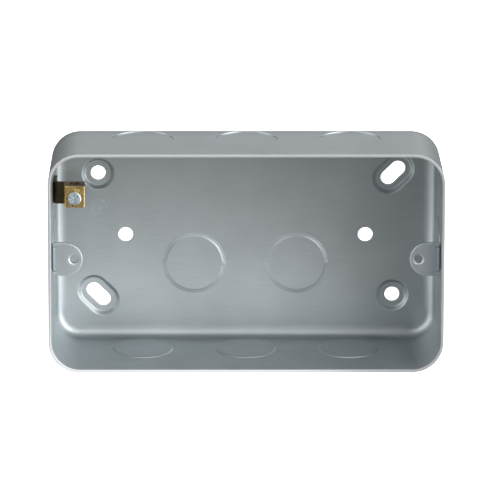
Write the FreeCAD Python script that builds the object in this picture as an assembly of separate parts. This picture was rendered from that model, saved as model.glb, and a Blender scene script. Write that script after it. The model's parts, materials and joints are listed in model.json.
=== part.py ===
"""Two gang wiring accessory box, drawn from galvanised sheet steel.

X runs along the long side, Z is up as the box is mounted, and the open front faces -Y.
The origin is the middle of the mounting plane, on which the four corner feet bear.
"""
import FreeCAD, Part
import math
import os

# Sheet and outside size, in millimetres
SHEET = 1.0
WIDTH = 138.4
HEIGHT = 79.0
DEPTH = 40.0
CORNER_RADIUS = 11.0
WALL_LEAN = 0.8
BACK_EDGE_RADIUS = 4.2

# Fixing holes in the back, the corner ones in dished feet
HOLE = 5.2
SLOT_LENGTH = 10.0
SLOT_TURN = 45
FOOT_FROM_END = 17.0
FOOT_FROM_SIDE = 17.1
PLAIN_HOLE_FROM_END = 26.7
FOOT_HEIGHT = 1.2
DISH_BORDER = 2.9
DISH_SLOPE = 1.5
FOOT_OVERLAP = 0.35

# Conduit knockouts, each a disc sheared round its edge and set in, held by two ties
KNOCKOUT = 21.5
KNOCKOUT_SET = 0.4
BACK_KNOCKOUT_PITCH = 36.4
BACK_KNOCKOUT_FROM_BOTTOM = 29.1
OUTER_KNOCKOUT_FROM_END = 32.8
WALL_KNOCKOUT_FROM_FEET = 16.2
TIE_WIDTH = 1.6
TIE_LENGTH = 2.4

# Accessory lugs
LUG_FROM_END = 8.9
LUG_DEPTH = 5.8
LUG_SHEET = 1.2
LUG_WIDTH = 12.0
LUG_TIP = 3.1
LUG_ROOT_WIDTH = 8.8
LUG_EAR_GAP = 0.6
LUG_BEND_RADIUS = 0.5
LUG_KNOCKOUT_GAP = 0.8
LUG_THREAD_CORE = 2.9
LUG_ENTRY = 3.5
LUG_COLLAR = 4.8
LUG_COLLAR_LENGTH = 1.0

# Earth terminal: a block with a tail that turns back along the end wall
BLOCK_WIDTH = 6.9
BLOCK_HEIGHT = 7.8
BLOCK_DEPTH = 6.8
BLOCK_EDGE = 0.3
BLOCK_FROM_WALL = 4.3
BLOCK_FROM_TOP = 19.4
BLOCK_FRONT_DEPTH = 15.0
TAIL_SHEET = 1.2
FOOT_REACH = 9.2
TERMINAL_BEND_RADIUS = 0.6
WIRE_HOLE = 3.4
WIRE_HOLE_BACK = 2.9

# Clamp screw of the earth terminal
SCREW = 3.5
SCREW_HEAD = 4.6
SCREW_HEAD_HEIGHT = 1.6
SCREW_PROUD = 2.6
SCREW_TIP_GAP = 0.4
SCREW_HEAD_EDGE = 0.35
SCREW_SLOT_WIDTH = 0.7
SCREW_SLOT_LENGTH = 3.0
SCREW_SLOT_DEPTH = 0.9
SCREW_SLOT_TURN = 45

# Rivet that holds the terminal to the end wall
RIVET = 3.0
RIVET_HEAD = 5.6
RIVET_HEAD_HEIGHT = 0.9
RIVET_UPSET = 4.6
RIVET_HEAD_EDGE = 0.45
RIVET_FROM_TAIL = 4.5

# Cutting tools run past what they cut by this much, and edges that agree this closely are one
OVERRUN = 1.0
CLOSE = 0.0001

# Worked out from the sizes above
RIM = -DEPTH
BACK_OUTSIDE = -FOOT_HEIGHT
BACK_INSIDE = BACK_OUTSIDE - SHEET
LUG_X = WIDTH / 2 - LUG_FROM_END
LUG_FACE = RIM + LUG_DEPTH
LUG_REAR = LUG_FACE + LUG_SHEET

TOWARD_X = FreeCAD.Vector(1, 0, 0)
TOWARD_Y = FreeCAD.Vector(0, 1, 0)
TOWARD_Z = FreeCAD.Vector(0, 0, 1)


def lean(y):
    """How far the walls have leaned in at depth coordinate y."""
    return WALL_LEAN * (y - RIM) / (BACK_OUTSIDE - RIM)


def end_wall_inside(y):
    """Distance from the middle to the inner face of an end wall at y."""
    return WIDTH / 2 - SHEET - lean(y)


BLOCK_FRONT = RIM + BLOCK_FRONT_DEPTH
BLOCK_REAR = BLOCK_FRONT + BLOCK_DEPTH
TAIL_FRONT = BLOCK_REAR - TAIL_SHEET
BLOCK_X = BLOCK_FROM_WALL + BLOCK_WIDTH / 2 - end_wall_inside(BLOCK_REAR)
BLOCK_Z = HEIGHT / 2 - BLOCK_FROM_TOP


def end_wall_normal(side):
    """Outward direction square to the leaning end wall on that side."""
    return FreeCAD.Vector(side, WALL_LEAN / (BACK_OUTSIDE - RIM), 0).normalize()


def in_plane(u, v, y):
    """Point at u across and v up in the plane of constant y."""
    return FreeCAD.Vector(u, y, v)


def rounded_outline(inset, y):
    """Rounded rectangle of the box at y, drawn in by inset all round."""
    inset = inset + lean(y)
    half_width = WIDTH / 2 - inset
    half_height = HEIGHT / 2 - inset
    radius = CORNER_RADIUS - inset
    edges = []
    for right, top in ((1, 1), (-1, 1), (-1, -1), (1, -1)):
        centre_u = right * (half_width - radius)
        centre_v = top * (half_height - radius)
        diagonal = radius * math.sqrt(0.5)
        side = in_plane(right * half_width, centre_v, y)
        middle = in_plane(centre_u + right * diagonal, centre_v + top * diagonal, y)
        end = in_plane(centre_u, top * half_height, y)
        arc = (side, middle, end) if right == top else (end, middle, side)
        edges.append(Part.Arc(*arc).toShape())
    joined = []
    for arc, following in zip(edges, edges[1:] + edges[:1]):
        joined.append(arc)
        joined.append(Part.makeLine(arc.Vertexes[-1].Point, following.Vertexes[0].Point))
    return Part.Wire(joined)


def tray_block(inset, front, back, edge_radius):
    """Solid block inside the box outline, with a rounded edge at the back."""
    block = Part.makeLoft([rounded_outline(inset, front), rounded_outline(inset, back)], True, True)
    back_edges = [edge for edge in block.Edges if abs(edge.BoundBox.YMin - back) < CLOSE]
    return block.makeFillet(edge_radius, back_edges)


def sheet_tray():
    """The drawn tray before any pressing or piercing."""
    outside = tray_block(0, RIM, BACK_OUTSIDE, BACK_EDGE_RADIUS)
    inside = tray_block(SHEET, RIM - OVERRUN, BACK_INSIDE, BACK_EDGE_RADIUS - SHEET)
    return outside.cut(inside)


def obround(length, width, y, centre, angle):
    """Round-ended outline in the plane of y, or a circle where length and width agree."""
    half = (length - width) / 2
    radius = width / 2
    if half < CLOSE:
        wire = Part.Wire(Part.makeCircle(radius, in_plane(0, 0, y), TOWARD_Y))
    else:
        edges = []
        for side in (1, -1):
            start = in_plane(side * half, -side * radius, y)
            middle = in_plane(side * (half + radius), 0, y)
            end = in_plane(side * half, side * radius, y)
            edges.append(Part.Arc(start, middle, end).toShape())
            edges.append(Part.makeLine(end, in_plane(-side * half, side * radius, y)))
        wire = Part.Wire(edges)
    wire.rotate(in_plane(0, 0, y), TOWARD_Y, -angle)
    wire.translate(in_plane(centre[0], centre[1], 0))
    return wire


def sloped_plug(length, width, grown, front, back, place, angle):
    """Solid between two round-ended outlines, wider by grown at the front than at the back."""
    wide = obround(length + grown, width + grown, front, place, angle)
    narrow = obround(length, width, back, place, angle)
    return Part.makeLoft([wide, narrow], True, True)


def corner_fixings():
    """Place, length and angle of the four corner fixing holes."""
    right = WIDTH / 2 - FOOT_FROM_END
    top = HEIGHT / 2 - FOOT_FROM_SIDE
    return (
        ((-right, top), HOLE, 0),
        ((right, -top), HOLE, 0),
        ((right, top), SLOT_LENGTH, SLOT_TURN),
        ((-right, -top), SLOT_LENGTH, -SLOT_TURN),
    )


def press_feet(tray):
    """Press a dished foot round each corner fixing and pierce all the fixing holes."""
    feet, dishes, holes = [], [], []
    grown = 2 * DISH_SLOPE
    border = 2 * DISH_BORDER - grown
    cover = border + 2 * FOOT_OVERLAP
    for place, length, angle in corner_fixings():
        feet.append(sloped_plug(length + cover, HOLE + cover, grown, BACK_OUTSIDE, 0, place, angle))
        dishes.append(sloped_plug(length + border, HOLE + border, grown, BACK_INSIDE, -SHEET, place, angle))
        holes.append(sloped_plug(length, HOLE, 0, BACK_INSIDE, OVERRUN, place, angle))
    for side in (-1, 1):
        place = (side * (WIDTH / 2 - PLAIN_HOLE_FROM_END), 0)
        holes.append(sloped_plug(HOLE, HOLE, 0, BACK_INSIDE - OVERRUN, OVERRUN, place, 0))
    return tray.fuse(feet).cut(dishes + holes)


def knockout_places():
    """Centre on the sheet, inward direction and tie direction of the ten knockouts."""
    places = []
    back_z = BACK_KNOCKOUT_FROM_BOTTOM - HEIGHT / 2
    outer_x = WIDTH / 2 - OUTER_KNOCKOUT_FROM_END
    for side in (-1, 1):
        back = FreeCAD.Vector(side * BACK_KNOCKOUT_PITCH / 2, BACK_OUTSIDE, back_z)
        places.append((back, -TOWARD_Y, TOWARD_X))
        end = FreeCAD.Vector(side * WIDTH / 2, -WALL_KNOCKOUT_FROM_FEET, 0)
        places.append((end, -side * TOWARD_X, TOWARD_Z))
        for x in (-outer_x, 0, outer_x):
            wall = FreeCAD.Vector(x, -WALL_KNOCKOUT_FROM_FEET, side * HEIGHT / 2)
            places.append((wall, -side * TOWARD_Z, TOWARD_X))
    return places


def tie_blocks(start, inward, along, depth):
    """Two upright blocks where the ties cross the sheared edge."""
    across = inward.cross(along)
    blocks = []
    for side in (-1, 1):
        near = start + along * (side * KNOCKOUT / 2 - TIE_LENGTH / 2) - across * (TIE_WIDTH / 2)
        far = near + along * TIE_LENGTH
        face = Part.makePolygon([near, far, far + across * TIE_WIDTH, near + across * TIE_WIDTH, near])
        blocks.append(Part.Face(face).extrude(inward * depth))
    return blocks


def press_knockouts(tray):
    """Shear each knockout and set it inward, leaving its two ties whole."""
    depth = WALL_LEAN + SHEET + 2 * OVERRUN
    sheared, set_in = [], []
    for centre, inward, along in knockout_places():
        start = centre - inward * OVERRUN
        disc = Part.makeCylinder(KNOCKOUT / 2, depth, start, inward)
        ties = tie_blocks(start, inward, along, depth)
        moved = tray.translated(inward * KNOCKOUT_SET)
        sheared.append(disc.cut(ties))
        set_in.append(moved.common(disc.fuse(ties)))
    return tray.cut(sheared).fuse(set_in)


def rivet_seat():
    """Point on the outside of the left end wall under the rivet's head."""
    y = BLOCK_REAR + RIVET_FROM_TAIL
    return FreeCAD.Vector(-end_wall_inside(y) - SHEET, y, BLOCK_Z)


def rivet_hole():
    """Bore for the rivet through the left end wall and the terminal's foot."""
    grip = SHEET + TAIL_SHEET
    outward = end_wall_normal(-1)
    start = rivet_seat() - outward * (grip + OVERRUN)
    return Part.makeCylinder(RIVET / 2, grip + 2 * OVERRUN, start, outward)


def box_shell():
    tray = sheet_tray()
    with_knockouts = press_knockouts(tray)
    return press_feet(with_knockouts).cut(rivet_hole())


def lug_bend_centre():
    """Centre of the right lug's bend, placed so that its outside just meets the end wall."""
    outer = LUG_BEND_RADIUS + LUG_SHEET
    square = end_wall_normal(1)
    touch_y = LUG_REAR + LUG_BEND_RADIUS + outer * square.y
    return FreeCAD.Vector(end_wall_inside(touch_y), touch_y, 0) - square * outer


def lug_section():
    """Section of the right lug: tab, bend, and flange back along the wall to near its knockout."""
    outer = LUG_BEND_RADIUS + LUG_SHEET
    square = end_wall_normal(1)
    centre = lug_bend_centre()
    halfway = (square - TOWARD_Y).normalize()
    flange_y = -WALL_KNOCKOUT_FROM_FEET - KNOCKOUT / 2 - LUG_KNOCKOUT_GAP
    flange_end = FreeCAD.Vector(end_wall_inside(flange_y), flange_y, 0)
    tab_x = LUG_X + LUG_TIP
    inner_bend = [centre + way * LUG_BEND_RADIUS for way in (-TOWARD_Y, halfway, square)]
    outer_bend = [centre + way * outer for way in (square, halfway, -TOWARD_Y)]
    tab = [
        outer_bend[2],
        FreeCAD.Vector(tab_x, LUG_FACE, 0),
        FreeCAD.Vector(tab_x, LUG_REAR, 0),
        inner_bend[0],
    ]
    flange = [inner_bend[2], flange_end - square * LUG_SHEET, flange_end, outer_bend[0]]
    inner_edge = Part.Arc(*inner_bend).toShape()
    outer_edge = Part.Arc(*outer_bend).toShape()
    outline = Part.makePolygon(tab).Edges + [inner_edge] + Part.makePolygon(flange).Edges + [outer_edge]
    return Part.Face(Part.Wire(outline))


def lug_plate():
    """Flat D-shaped tab of the right lug, with an ear on each side of the bend."""
    radius = LUG_WIDTH / 2
    root = LUG_ROOT_WIDTH / 2
    tip_x = LUG_X - LUG_TIP
    round_x = tip_x + radius
    bend_x = lug_bend_centre().x
    ear_x = end_wall_inside(LUG_FACE) - LUG_EAR_GAP
    upper = in_plane(round_x, radius, LUG_FACE)
    lower = in_plane(round_x, -radius, LUG_FACE)
    end = Part.Arc(upper, in_plane(tip_x, 0, LUG_FACE), lower).toShape()
    ear = ((ear_x, radius), (ear_x, root), (bend_x, root))
    lower_ear = [in_plane(x, -z, LUG_FACE) for x, z in ear]
    upper_ear = [in_plane(x, z, LUG_FACE) for x, z in reversed(ear)]
    sides = Part.makePolygon([lower] + lower_ear + upper_ear + [upper]).Edges
    return Part.Face(Part.Wire([end] + sides)).extrude(TOWARD_Y * LUG_SHEET)


def right_lug():
    """Tab with a round end and a threaded, collared hole, bent back at the wall."""
    bent = lug_section().extrude(TOWARD_Z * LUG_ROOT_WIDTH)
    bent.translate(TOWARD_Z * (-LUG_ROOT_WIDTH / 2))
    hole_at = in_plane(LUG_X, 0, LUG_FACE)
    collar_length = LUG_SHEET + LUG_COLLAR_LENGTH
    collar = Part.makeCylinder(LUG_COLLAR / 2, collar_length, hole_at, TOWARD_Y)
    thread = Part.makeCylinder(LUG_THREAD_CORE / 2, collar_length + OVERRUN, hole_at, TOWARD_Y)
    entry_depth = (LUG_ENTRY - LUG_THREAD_CORE) / 2
    entry = Part.makeCone(LUG_ENTRY / 2, LUG_THREAD_CORE / 2, entry_depth, hole_at, TOWARD_Y)
    return bent.fuse([lug_plate(), collar]).removeSplitter().cut([thread, entry])


def left_lug():
    return right_lug().mirror(FreeCAD.Vector(0, 0, 0), TOWARD_X)


def terminal_section():
    """Section of the terminal on the left: block, tail across, foot back along the wall."""
    right = BLOCK_X + BLOCK_WIDTH / 2
    left = BLOCK_X - BLOCK_WIDTH / 2
    foot_end = TAIL_FRONT + FOOT_REACH
    outline = (
        (right, BLOCK_FRONT),
        (right, BLOCK_REAR),
        (TAIL_SHEET - end_wall_inside(BLOCK_REAR), BLOCK_REAR),
        (TAIL_SHEET - end_wall_inside(foot_end), foot_end),
        (-end_wall_inside(foot_end), foot_end),
        (-end_wall_inside(TAIL_FRONT), TAIL_FRONT),
        (left, TAIL_FRONT),
        (left, BLOCK_FRONT),
    )
    points = [FreeCAD.Vector(x, y, 0) for x, y in outline]
    return Part.Face(Part.makePolygon(points + points[:1]))


def is_upright_at(edge, x, y):
    """True for an upright edge of the terminal at the place x, y."""
    box = edge.BoundBox
    upright = box.ZLength > BLOCK_HEIGHT / 2
    return upright and abs(box.XMin - x) < CLOSE and abs(box.YMin - y) < CLOSE


def earth_terminal():
    """Brass block and tail, bored for the wire, the clamp screw and the rivet."""
    body = terminal_section().extrude(TOWARD_Z * BLOCK_HEIGHT)
    body.translate(TOWARD_Z * (BLOCK_Z - BLOCK_HEIGHT / 2))
    inner_corner = (TAIL_SHEET - end_wall_inside(BLOCK_REAR), BLOCK_REAR)
    outer_corner = (-end_wall_inside(TAIL_FRONT), TAIL_FRONT)
    for corner, radius in (
        (inner_corner, TERMINAL_BEND_RADIUS),
        (outer_corner, TERMINAL_BEND_RADIUS + TAIL_SHEET),
    ):
        bend = [edge for edge in body.Edges if is_upright_at(edge, *corner)]
        body = body.makeFillet(radius, bend)
    front_edges = [edge for edge in body.Edges if edge.BoundBox.YMax < BLOCK_FRONT + CLOSE
                   and edge.BoundBox.XMin > BLOCK_X - BLOCK_WIDTH / 2 - CLOSE]
    body = body.makeChamfer(BLOCK_EDGE, front_edges)
    wire_y = BLOCK_REAR - WIRE_HOLE_BACK
    wire_at = FreeCAD.Vector(BLOCK_X, wire_y, BLOCK_Z - BLOCK_HEIGHT)
    wire_hole = Part.makeCylinder(WIRE_HOLE / 2, 2 * BLOCK_HEIGHT, wire_at, TOWARD_Z)
    tapped_at = FreeCAD.Vector(BLOCK_X, BLOCK_FRONT - OVERRUN, BLOCK_Z)
    tapped = Part.makeCylinder(SCREW / 2, wire_y - BLOCK_FRONT + OVERRUN, tapped_at, TOWARD_Y)
    return body.cut([wire_hole, tapped, rivet_hole()])


def screw_slot(turn):
    """One arm of the cross recess in the screw head."""
    front = BLOCK_FRONT - SCREW_PROUD
    corner = FreeCAD.Vector(-SCREW_SLOT_LENGTH / 2, front - OVERRUN, -SCREW_SLOT_WIDTH / 2)
    arm = Part.makeBox(SCREW_SLOT_LENGTH, SCREW_SLOT_DEPTH + OVERRUN, SCREW_SLOT_WIDTH, corner)
    arm.rotate(FreeCAD.Vector(0, 0, 0), TOWARD_Y, turn)
    arm.translate(FreeCAD.Vector(BLOCK_X, 0, BLOCK_Z))
    return arm


def earth_terminal_screw():
    """Clamp screw, backed off so that its tip stands in the wire hole."""
    front = FreeCAD.Vector(BLOCK_X, BLOCK_FRONT - SCREW_PROUD, BLOCK_Z)
    head = Part.makeCylinder(SCREW_HEAD / 2, SCREW_HEAD_HEIGHT, front, TOWARD_Y)
    rim = [edge for edge in head.Edges if edge.BoundBox.YMax < front.y + CLOSE]
    head = head.makeChamfer(SCREW_HEAD_EDGE, rim)
    wire_front = BLOCK_REAR - WIRE_HOLE_BACK - WIRE_HOLE / 2
    under_head = front + TOWARD_Y * SCREW_HEAD_HEIGHT
    length = wire_front + SCREW_TIP_GAP - under_head.y
    shank = Part.makeCylinder(SCREW / 2, length, under_head, TOWARD_Y)
    return head.fuse(shank).cut([screw_slot(SCREW_SLOT_TURN), screw_slot(-SCREW_SLOT_TURN)])


def rivet_head(diameter, seat, outward):
    """Low head with a bevelled edge, standing on its seat."""
    head = Part.makeCylinder(diameter / 2, RIVET_HEAD_HEIGHT, seat, outward)
    top = seat + outward * RIVET_HEAD_HEIGHT
    edge = [edge for edge in head.Edges if (edge.BoundBox.Center - top).Length < RIVET_HEAD_EDGE / 2]
    return head.makeChamfer(RIVET_HEAD_EDGE, edge)


def earth_terminal_rivet():
    """Rivet with its made head outside the wall and its upset end on the terminal's foot."""
    outward = end_wall_normal(-1)
    seat = rivet_seat()
    grip = (SHEET + TAIL_SHEET) * abs(outward.x)
    inner_seat = seat - outward * grip
    shank = Part.makeCylinder(RIVET / 2, grip, inner_seat, outward)
    made_head = rivet_head(RIVET_HEAD, seat, outward)
    upset_end = rivet_head(RIVET_UPSET, inner_seat, -outward)
    return shank.fuse([made_head, upset_end])


NODES = {
    "box_shell": box_shell,
    "left_lug": left_lug,
    "right_lug": right_lug,
    "earth_terminal": earth_terminal,
    "earth_terminal_screw": earth_terminal_screw,
    "earth_terminal_rivet": earth_terminal_rivet,
}


def main():
    os.makedirs("parts", exist_ok=True)
    for name, make in NODES.items():
        shape = make()
        print(name, shape.isValid(), len(shape.Solids), round(shape.Volume, 1), shape.BoundBox)
        shape.exportStep("parts/" + name + ".step")


main()
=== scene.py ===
"""Two gang wiring accessory box of galvanised sheet steel, dressed for its portrait.

The solids come in as a fixed frame. The box skin and the two lugs are worked out again
here as finely curved sheet, and every piece gets its metal.
"""
import json
import math

import bpy
import bmesh
import numpy as np
from mathutils import Matrix, Vector
from mathutils.geometry import delaunay_2d_cdt

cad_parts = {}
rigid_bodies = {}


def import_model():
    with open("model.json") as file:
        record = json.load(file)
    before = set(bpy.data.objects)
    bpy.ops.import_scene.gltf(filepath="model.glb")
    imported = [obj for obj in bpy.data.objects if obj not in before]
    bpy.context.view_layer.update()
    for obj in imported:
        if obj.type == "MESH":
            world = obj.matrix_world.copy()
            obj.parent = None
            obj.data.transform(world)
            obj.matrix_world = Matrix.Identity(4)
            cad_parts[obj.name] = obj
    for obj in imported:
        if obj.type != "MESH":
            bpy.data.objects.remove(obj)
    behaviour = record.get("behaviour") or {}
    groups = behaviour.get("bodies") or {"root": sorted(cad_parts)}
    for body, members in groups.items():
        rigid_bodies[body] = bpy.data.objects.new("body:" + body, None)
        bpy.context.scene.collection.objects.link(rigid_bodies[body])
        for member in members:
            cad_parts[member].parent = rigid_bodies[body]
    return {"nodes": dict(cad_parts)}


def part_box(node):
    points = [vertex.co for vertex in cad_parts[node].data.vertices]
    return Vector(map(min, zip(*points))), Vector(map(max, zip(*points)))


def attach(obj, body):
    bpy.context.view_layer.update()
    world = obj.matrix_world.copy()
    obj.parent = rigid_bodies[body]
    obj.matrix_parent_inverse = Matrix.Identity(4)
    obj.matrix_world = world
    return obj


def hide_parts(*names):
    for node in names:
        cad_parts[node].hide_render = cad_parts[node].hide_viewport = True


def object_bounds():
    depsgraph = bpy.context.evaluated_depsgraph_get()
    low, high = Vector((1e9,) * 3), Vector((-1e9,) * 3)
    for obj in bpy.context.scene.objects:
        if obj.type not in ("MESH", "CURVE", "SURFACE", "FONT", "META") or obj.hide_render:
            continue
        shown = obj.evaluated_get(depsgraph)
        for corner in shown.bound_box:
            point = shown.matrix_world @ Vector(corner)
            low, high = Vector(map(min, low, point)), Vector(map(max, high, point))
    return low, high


bl_info = {
    "name": "Two gang box",
    "version": (1, 0, 0),
    "blender": (4, 5, 0),
    "location": "View3D > Sidebar > Two gang box",
    "description": "Builds the drawn steel box, its lugs, its metals and its stage",
    "category": "Object",
}

for spare in list(bpy.data.objects):
    bpy.data.objects.remove(spare)
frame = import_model()
SOLID_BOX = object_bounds()
MM = 0.001
LOWEST = min(corner[2] for corner in SOLID_BOX)

# How finely the surfaces are divided: rows, steps once round, and pitches in millimetres
BEND_ROWS = 9
WALL_ROWS = 14
CORNER_STEPS = 16
KNOCKOUT_STEPS = 144
FOOT_STEPS = 72
HOLE_STEPS = 56
THREAD_STEPS = 48
MARK_STEPS = 48
STOP_PITCH = 1.5
SPOT_PITCH = 3.0
LUG_STOP_PITCH = 0.11
LUG_SPOT_PITCH = 0.55

# Points closer than this many millimetres become one, and sharper turns than this stay sharp
WELD = 0.002
SHARP_ANGLE = math.radians(38)

# Where the flat sheet begins, in millimetres outside the edge of each kind of feature
KNOCKOUT_REACH = 1.25
FOOT_REACH = 3.6
HOLE_REACH = 0.8
THREAD_REACH = 1.15

# Rounding of a pierced hole, the flat round it in a foot, and the foot's slope on each face
HOLE_EDGE = 0.14
FOOT_FLAT = 0.7
FOOT_SLOPE_OUTSIDE = (3.55, 2.0)
FOOT_SLOPE_INSIDE = (3.3, 1.75)

# Side of the back's knockouts on which the shearing left its burr
BURR_SIDE = math.radians(50)

# Roundings of a lug's strip at the ear, beside the slit, in the slit and at the far end,
# and how deep its thread is cut
EAR_ROUND = 0.45
SLIT_MOUTH_ROUND = 0.3
SLIT_ROUND = 0.06
FLANGE_ROUND = 0.6
THREAD_DEPTH = 0.3

# The sign for earth: its place, half its square, its ring, stem and bars, half the width
# of their lines, how soft the edges are, and how far it stands out
MARK_PLACE = (-52.35, 10.15)
MARK_HALF = 3.3
MARK_RING = 2.7
MARK_STEM = ((0.0, 1.7), (0.0, 0.2))
MARK_BARS = ((1.5, 0.1), (1.0, -0.65), (0.5, -1.4))
MARK_LINE = 0.14
MARK_EDGE = 0.3
MARK_RISE = 0.05


def length(name, description, millimetres):
    """A size in the settings, given in millimetres and kept in metres."""
    return bpy.props.FloatProperty(
        name=name, description=description, default=millimetres * MM, unit="LENGTH", precision=5)


def angle(name, description, degrees):
    """An angle in the settings, given in degrees and kept in radians."""
    return bpy.props.FloatProperty(
        name=name, description=description, default=math.radians(degrees), subtype="ANGLE")


def colour(name, description, value):
    """A colour in the settings."""
    return bpy.props.FloatVectorProperty(
        name=name, description=description, default=value, subtype="COLOR", size=3,
        min=0.0, max=1.0)


def amount(name, description, value):
    """A plain number in the settings."""
    return bpy.props.FloatProperty(name=name, description=description, default=value)


class BoxSizes(bpy.types.PropertyGroup):
    """Sizes of the drawn sheet."""

    width: length("Width", "Outside width at the rim", 138.4)
    height: length("Height", "Outside height at the rim", 79.0)
    depth: length("Depth", "From the feet to the rim", 40.0)
    sheet: length("Sheet", "Thickness of the sheet", 1.0)
    corner: length("Corner radius", "Outside radius of the upright corners", 11.0)
    back_bend: length("Back bend", "Outside radius between wall and back", 4.2)
    wall_lean: length("Wall lean", "How far a wall leans in from rim to back", 0.8)
    rim_edge: length("Rim edge", "Radius broken on the edges of the rim", 0.16)
    foot_height: length("Foot height", "How far the corner feet stand behind the back", 1.2)
    hole: length("Hole", "Width of the fixing holes", 5.2)
    slot: length("Slot", "Length of the two slotted fixing holes", 10.0)
    foot_from_end: length("Foot from end", "Corner hole to end wall", 17.0)
    foot_from_side: length("Foot from side", "Corner hole to long wall", 17.1)
    plain_from_end: length("Plain hole from end", "Middle hole to end wall", 26.7)
    knockout: length("Knockout", "Diameter of a sheared knockout", 21.5)
    knockout_set: length("Knockout set", "How far a knockout is pressed in", 0.4)
    back_pitch: length("Back pitch", "Between the two knockouts in the back", 36.4)
    back_from_bottom: length("Back knockout height", "Centre above the bottom wall", 29.1)
    outer_from_end: length("Outer knockout from end", "Centre to end wall", 32.8)
    wall_from_feet: length("Wall knockout from feet", "Centre in front of the feet", 16.2)
    tie: length("Tie", "Width of the ties that hold a knockout", 1.6)


class LugSizes(bpy.types.PropertyGroup):
    """Sizes of the two accessory lugs."""

    from_end: length("Lug from end", "Threaded hole to end wall", 8.9)
    depth: length("Lug depth", "Face of the lug behind the rim", 5.8)
    sheet: length("Lug sheet", "Thickness of the lug", 1.2)
    width: length("Lug width", "Width of the round tab", 12.0)
    tip: length("Lug tip", "From the hole to the end of the tab", 3.1)
    root_width: length("Root width", "Width of the bent strip at the wall", 8.8)
    ear_gap: length("Ear gap", "Gap between an ear and the wall", 0.45)
    slit: length("Slit", "Cut between an ear and the bent strip", 0.1)
    bend: length("Lug bend", "Inside radius of the bend", 0.5)
    knockout_gap: length("Flange gap", "From the end of the flange to the wall's knockout", 0.8)
    thread_core: length("Thread core", "Smallest width of the thread", 2.9)
    thread_pitch: length("Thread pitch", "From one turn of the thread to the next", 0.6)
    entry: length("Entry", "Width of the countersink", 3.5)
    collar: length("Collar", "Outside width of the drawn collar", 4.8)
    collar_length: length("Collar length", "How far the collar stands behind the lug", 1.0)
    edge: length("Lug edge", "Radius broken on the edges of the tab", 0.3)
    bow: length("Lug bow", "How far the ends of the tab fall behind its middle", 0.12)


class MetalLooks(bpy.types.PropertyGroup):
    """Colours and finishes of the metals."""

    zinc: colour("Zinc", "Colour of the galvanised sheet", (0.475, 0.515, 0.53))
    # Dull zinc is the colour of the sheet's duller patches and also of the painted shade up the back
    zinc_dull_and_shade: colour("Dull zinc and painted shade", "Colour of its duller patches and of its painted shade", (0.345, 0.375, 0.388))
    zinc_lug: colour("Lug zinc", "Colour of the two lugs", (0.48, 0.525, 0.55))
    cut_edge: colour("Cut edge", "Colour of bare steel where the sheet is cut", (0.54, 0.55, 0.56))
    brass: colour("Brass", "Colour of the earth terminal", (0.80, 0.56, 0.22))
    brass_dull: colour("Dull brass", "Colour of its tarnish", (0.52, 0.33, 0.12))
    # Painted shade: near black for the shade on the terminal's tail by the wall and on its block's top
    brass_painted_shade: colour("Painted brass shade", "Painted shade on the terminal's tail and the top of its block", (0.065, 0.050, 0.031))
    plate: colour("Plating", "Colour of the plated clamp screw", (0.76, 0.90, 0.95))
    zinc_roughness: amount("Zinc roughness", "How blurred the sheet mirrors", 0.46)


class StageLooks(bpy.types.PropertyGroup):
    """Camera and light."""

    distance: bpy.props.FloatProperty(
        name="Distance", description="Camera to box", default=2.0, unit="LENGTH")
    lens: bpy.props.FloatProperty(
        name="Lens", description="Focal length", default=409.0, unit="CAMERA")
    elevation: angle("Elevation", "Camera height angle", 16.11)
    azimuth: angle("Azimuth", "Camera turn round the box", -0.54)
    roll: angle("Roll", "Camera roll", 0.14)
    target: bpy.props.FloatVectorProperty(
        name="Target", description="Point in the middle of the view", size=3, subtype="TRANSLATION",
        default=(1.44 * MM, -20.0 * MM, -0.60 * MM))
    white: colour("Stage white", "Colour of the floor", (1.0, 1.0, 1.0))


class Millimetres:
    """A settings group read in millimetres."""

    def __init__(self, group):
        self.group = group

    def __getattr__(self, name):
        return getattr(self.group, name) / MM


def smooth(x):
    """Nought below 0, one above 1, and a soft S between them: 3x^2 - 2x^3."""
    x = np.clip(x, 0.0, 1.0)
    return x * x * (3.0 - 2.0 * x)


def inside(points, loop):
    """True where a ray to the right of the point crosses the loop an odd number of times."""
    x, y = points[:, 0, None], points[:, 1, None]
    ax, ay = loop[:, 0], loop[:, 1]
    bx, by = np.roll(ax, -1), np.roll(ay, -1)
    rise = np.where(by == ay, 1.0, by - ay)
    crosses = ((ay > y) != (by > y)) & (x < ax + (y - ay) * (bx - ax) / rise)
    return np.count_nonzero(crosses, axis=1) % 2 == 1


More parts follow.
